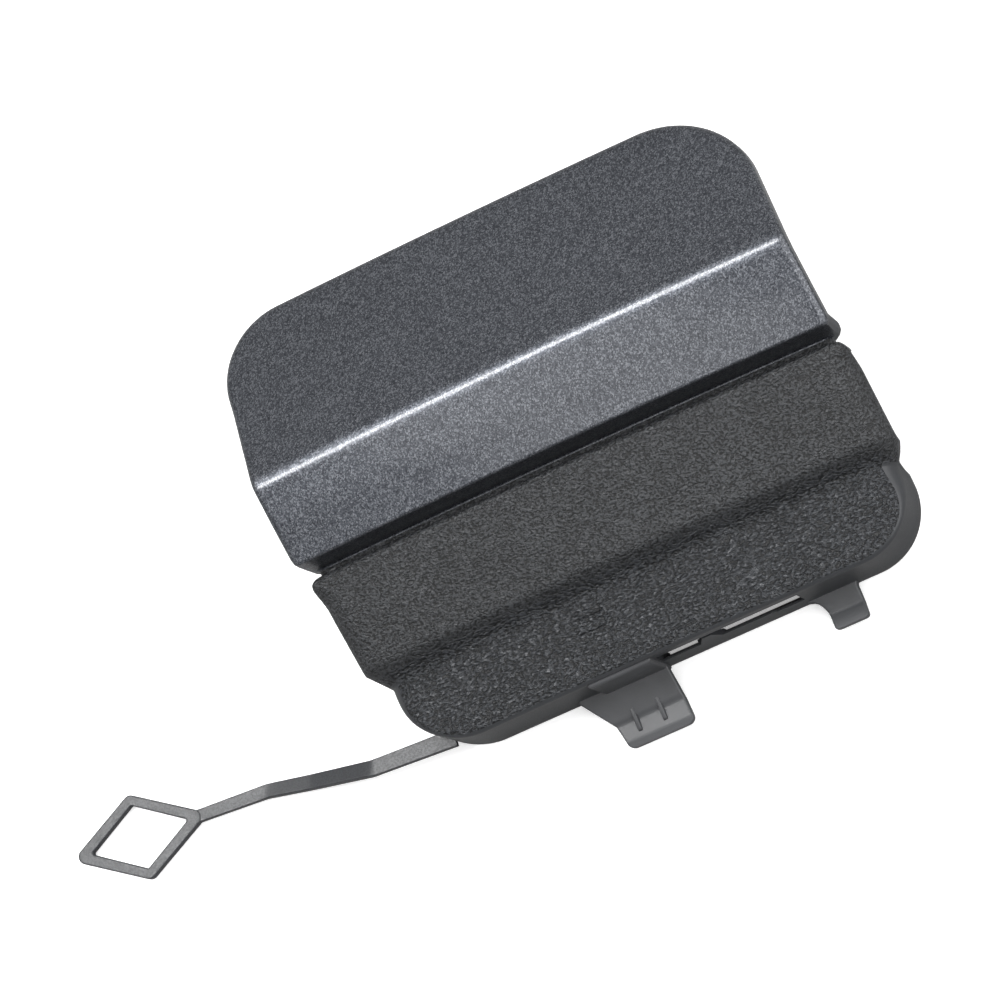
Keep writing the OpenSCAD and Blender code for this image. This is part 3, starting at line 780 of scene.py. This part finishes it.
def slot_cutters():
    """The slot through the bottom wall, the pocket behind its bar and the draft at the bar's upper edge."""
    top, low, slope = lower_z - slot_drop, bar_h - bar_dip, stop_h / 3
    pocket_top = top - 0.2
    stop_x1, stop_top, dip_x = stop_x + stop_w, bar_h + stop_h, slot_x1 - bar_dip_l
    outline = [(slot_x0, bar_h), (slot_x0, top), (slot_x1, top), (slot_x1, low), (dip_x, low),
               (dip_x - bar_dip, bar_h), (stop_x1 + slope, bar_h), (stop_x1, stop_top),
               (stop_x, stop_top), (stop_x - slope, bar_h)]
    x0, x1 = slot_x0 + 0.01, slot_x1 - 0.01
    behind = [(x0, -1), (x0, pocket_top), (x1, pocket_top), (x1, -1)]
    cuts = [prism(outline, "y", wall / 2, wall + 2),
            prism(behind, "y", (bar_t + wall + 1) / 2, wall + 1 - bar_t)]
    draft_top, draft_end, draft_foot = pocket_top - 0.01, wall - 0.02, bar_h - bar_draft
    draft = [(bar_edge, low), (bar_edge, draft_top), (draft_end, draft_top), (draft_end, draft_foot),
             (bar_t, draft_foot)]
    for a, b in ((x0 + 0.01, stop_x - slope - stop_gap), (stop_x1 + slope + stop_gap, x1 - 0.01)):
        cuts.append(prism(draft, "x", (a + b) / 2, b - a))
    return cuts


def cut_slot(obj):
    for verts, faces in slot_cutters():
        mesh = bpy.data.meshes.new("slot_cutter")
        mesh.from_pydata([tuple(v) for v in placed(verts)], [], faces)
        mesh.materials.append(smooth)
        fix_normals(mesh)
        cutter = bpy.data.objects.new("slot_cutter", mesh)
        bpy.context.scene.collection.objects.link(cutter)
        mod = obj.modifiers.new("slot", "BOOLEAN")
        mod.operation = "DIFFERENCE"
        mod.solver = "EXACT"
        mod.object = cutter
        mod.material_mode = "TRANSFER"
        keep_modifiers(obj)
        bpy.data.objects.remove(cutter)
        bpy.data.meshes.remove(mesh)


def body_pieces():
    """The moulded body and its painted panel, cut from one closed surface along the groove's edge."""
    points, quads, tags = shell_mesh()
    mid = points[np.array(quads)].mean(axis=1)
    edge = groove_end - 0.9
    is_paint = np.array([t in ("face", "turn") and y > edge or t == "wall" and y > edge + 2.6
                         for t, y in zip(tags, mid[:, 1])])
    whole = bpy.data.meshes.new("moulded_body")
    whole.from_pydata([tuple(p) for p in placed(points, slanted=True)], [], quads)
    mats = [smooth, grain_low, grain_top, painted]
    for mat in mats:
        whole.materials.append(mat)
    kind = np.zeros(len(quads), int)
    for k, (tag, p) in enumerate(zip(tags, mid)):
        if is_paint[k]:
            kind[k] = 3
        elif tag == "face" or tag == "turn" and p[1] > fold_y:
            kind[k] = 1 if p[1] < (fold_y + fold_end) / 2 else 2
    whole.polygons.foreach_set("material_index", kind)
    whole.update()
    fix_normals(whole)
    obj = bpy.data.objects.new("moulded_body", whole)
    bpy.context.scene.collection.objects.link(obj)
    cut_slot(obj)
    panel = obj.copy()
    panel.data = obj.data.copy()
    panel.name = panel.data.name = "painted_panel"
    bpy.context.scene.collection.objects.link(panel)
    for piece, keep_paint in ((obj, False), (panel, True)):
        bm = bmesh.new()
        bm.from_mesh(piece.data)
        drop = [f for f in bm.faces if (f.material_index == 3) != keep_paint]
        bmesh.ops.delete(bm, geom=drop, context="FACES")
        bm.to_mesh(piece.data)
        bm.free()
        piece.data.shade_smooth()
        piece.data.set_sharp_from_angle(angle=math.radians(40))
        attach(piece, "root")
        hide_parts("cover")


def small_piece(name, parts, mat, round_by=0):
    verts, faces = parts
    obj = new_mesh(name, placed(verts), faces, mat)
    fix_normals(obj.data)
    if round_by:
        bevelled(obj, round_by)
    obj.data.shade_smooth()
    obj.data.set_sharp_from_angle(angle=math.radians(50))
    return obj


body_pieces()
small_piece("rear_ribs", rear_ribs(), smooth)
small_piece("snap_clips", snap_clips(), smooth, 0.3)
small_piece("lower_clips", joined(tongue() + tab()), lightened_clips)
small_piece("tether", tether(), strap_grain)
small_piece("mould_mark", mark(), grain_low)

# Camera, from the photograph's view
scene = bpy.context.scene
pitch, yaw, roll = math.radians(15), math.radians(13), math.radians(21.3)
focal, distance = 4567.0, 0.9
shift_right, shift_up = 64.8, 79.2
target = Vector((0, 2.5, 16.5)) * MM
right = Vector((math.cos(yaw), 0, -math.sin(yaw)))
up = Vector((math.sin(yaw) * math.sin(pitch), math.cos(pitch), math.cos(yaw) * math.sin(pitch)))
toward = right.cross(up)
cam_right = right * math.cos(roll) - up * math.sin(roll)
cam_up = right * math.sin(roll) + up * math.cos(roll)
look = (-toward * focal - cam_right * shift_right - cam_up * shift_up).normalized()
back = -look
side = cam_up.cross(back).normalized()
over = back.cross(side)
cam_data = bpy.data.cameras.new("camera")
picture_width = 1000
cam_data.sensor_width = 36
cam_data.lens = focal / picture_width * cam_data.sensor_width
cam = bpy.data.objects.new("camera", cam_data)
place = target + toward * distance
cam.matrix_world = Matrix(((side.x, over.x, back.x, place.x), (side.y, over.y, back.y, place.y),
                           (side.z, over.z, back.z, place.z), (0, 0, 0, 1)))
scene.collection.objects.link(cam)
scene.camera = cam


# Light
def lamp(name, direction, distance, size, power, colour=(1, 1, 1)):
    """A soft rectangular lamp that faces the object from a direction."""
    data = bpy.data.lights.new(name, "AREA")
    data.shape = "RECTANGLE"
    data.size, data.size_y = size
    data.energy = power
    data.color = colour
    obj = bpy.data.objects.new(name, data)
    d = Vector(direction).normalized()
    obj.location = Vector((0, 0, 0.02)) + d * distance
    obj.rotation_euler = d.to_track_quat("Z", "Y").to_euler()
    scene.collection.objects.link(obj)
    return obj


lamp("key", (-0.23, 0.30, 0.94), 1.2, (0.98, 0.20), 12.4)
lamp("front", (-0.25, -0.15, 0.97), 1.2, (2.6, 0.3), 3.9)
lamp("right", (0.80, -0.05, 0.60), 1.3, (2.4, 2.2), 34.0)
lamp("left", (-0.9, 0.2, 0.5), 1.4, (0.6, 0.6), 2.5)

# Floor and world
floor_mesh = bpy.data.meshes.new("floor")
floor_half = 3.0
corners = [(sx * floor_half, sy * floor_half, 0) for sx, sy in ((-1, -1), (1, -1), (1, 1), (-1, 1))]
floor_mesh.from_pydata(corners, [], [(0, 1, 2, 3)])
floor = bpy.data.objects.new("floor", floor_mesh)
floor.location.z = -0.0002
scene.collection.objects.link(floor)
floor_mat, tree, shader = material("floor_white", 0.7, specular=0.2)
grain = node(tree, "ShaderNodeTexNoise", Scale=40.0, Detail=2.0)
tree.links.new(coords(tree), grain.inputs["Vector"])
tree.links.new(span_of(tree, grain.outputs["Fac"], 0.3, 0.7, 0.66, 0.74), shader.inputs["Roughness"])
# The floor is pale to the camera, and grey to every other ray, reflections too
path = node(tree, "ShaderNodeLightPath")
glow = node(tree, "ShaderNodeMath", operation="MULTIPLY")
glow.inputs[1].default_value = 0.35
tree.links.new(path.outputs["Is Camera Ray"], glow.inputs[0])
shade = node(tree, "ShaderNodeMix", data_type="RGBA")
shade.inputs[6].default_value = (0.25, 0.25, 0.25, 1)
shade.inputs[7].default_value = (0.95, 0.95, 0.95, 1)
tree.links.new(path.outputs["Is Camera Ray"], shade.inputs[0])
tree.links.new(shade.outputs[2], shader.inputs["Base Color"])
shader.inputs["Emission Color"].default_value = (1, 1, 1, 1)
tree.links.new(glow.outputs[0], shader.inputs["Emission Strength"])
floor_mesh.materials.append(floor_mat)

world = bpy.data.worlds.new("studio")
world.use_nodes = True
scene.world = world
tree = world.node_tree
bg = tree.nodes["Background"]
path = node(tree, "ShaderNodeLightPath")
# The background is white to the camera and through clear material, and dimmer in reflections and as a light
seen = node(tree, "ShaderNodeMath", operation="MAXIMUM")
tree.links.new(path.outputs["Is Camera Ray"], seen.inputs[0])
tree.links.new(path.outputs["Is Transmission Ray"], seen.inputs[1])
tree.links.new(span_of(tree, seen.outputs[0], 0, 1, 0.45, 1.0), bg.inputs["Strength"])
bg.inputs["Color"].default_value = (1, 1, 1, 1)

scene.view_settings.view_transform = "Standard"
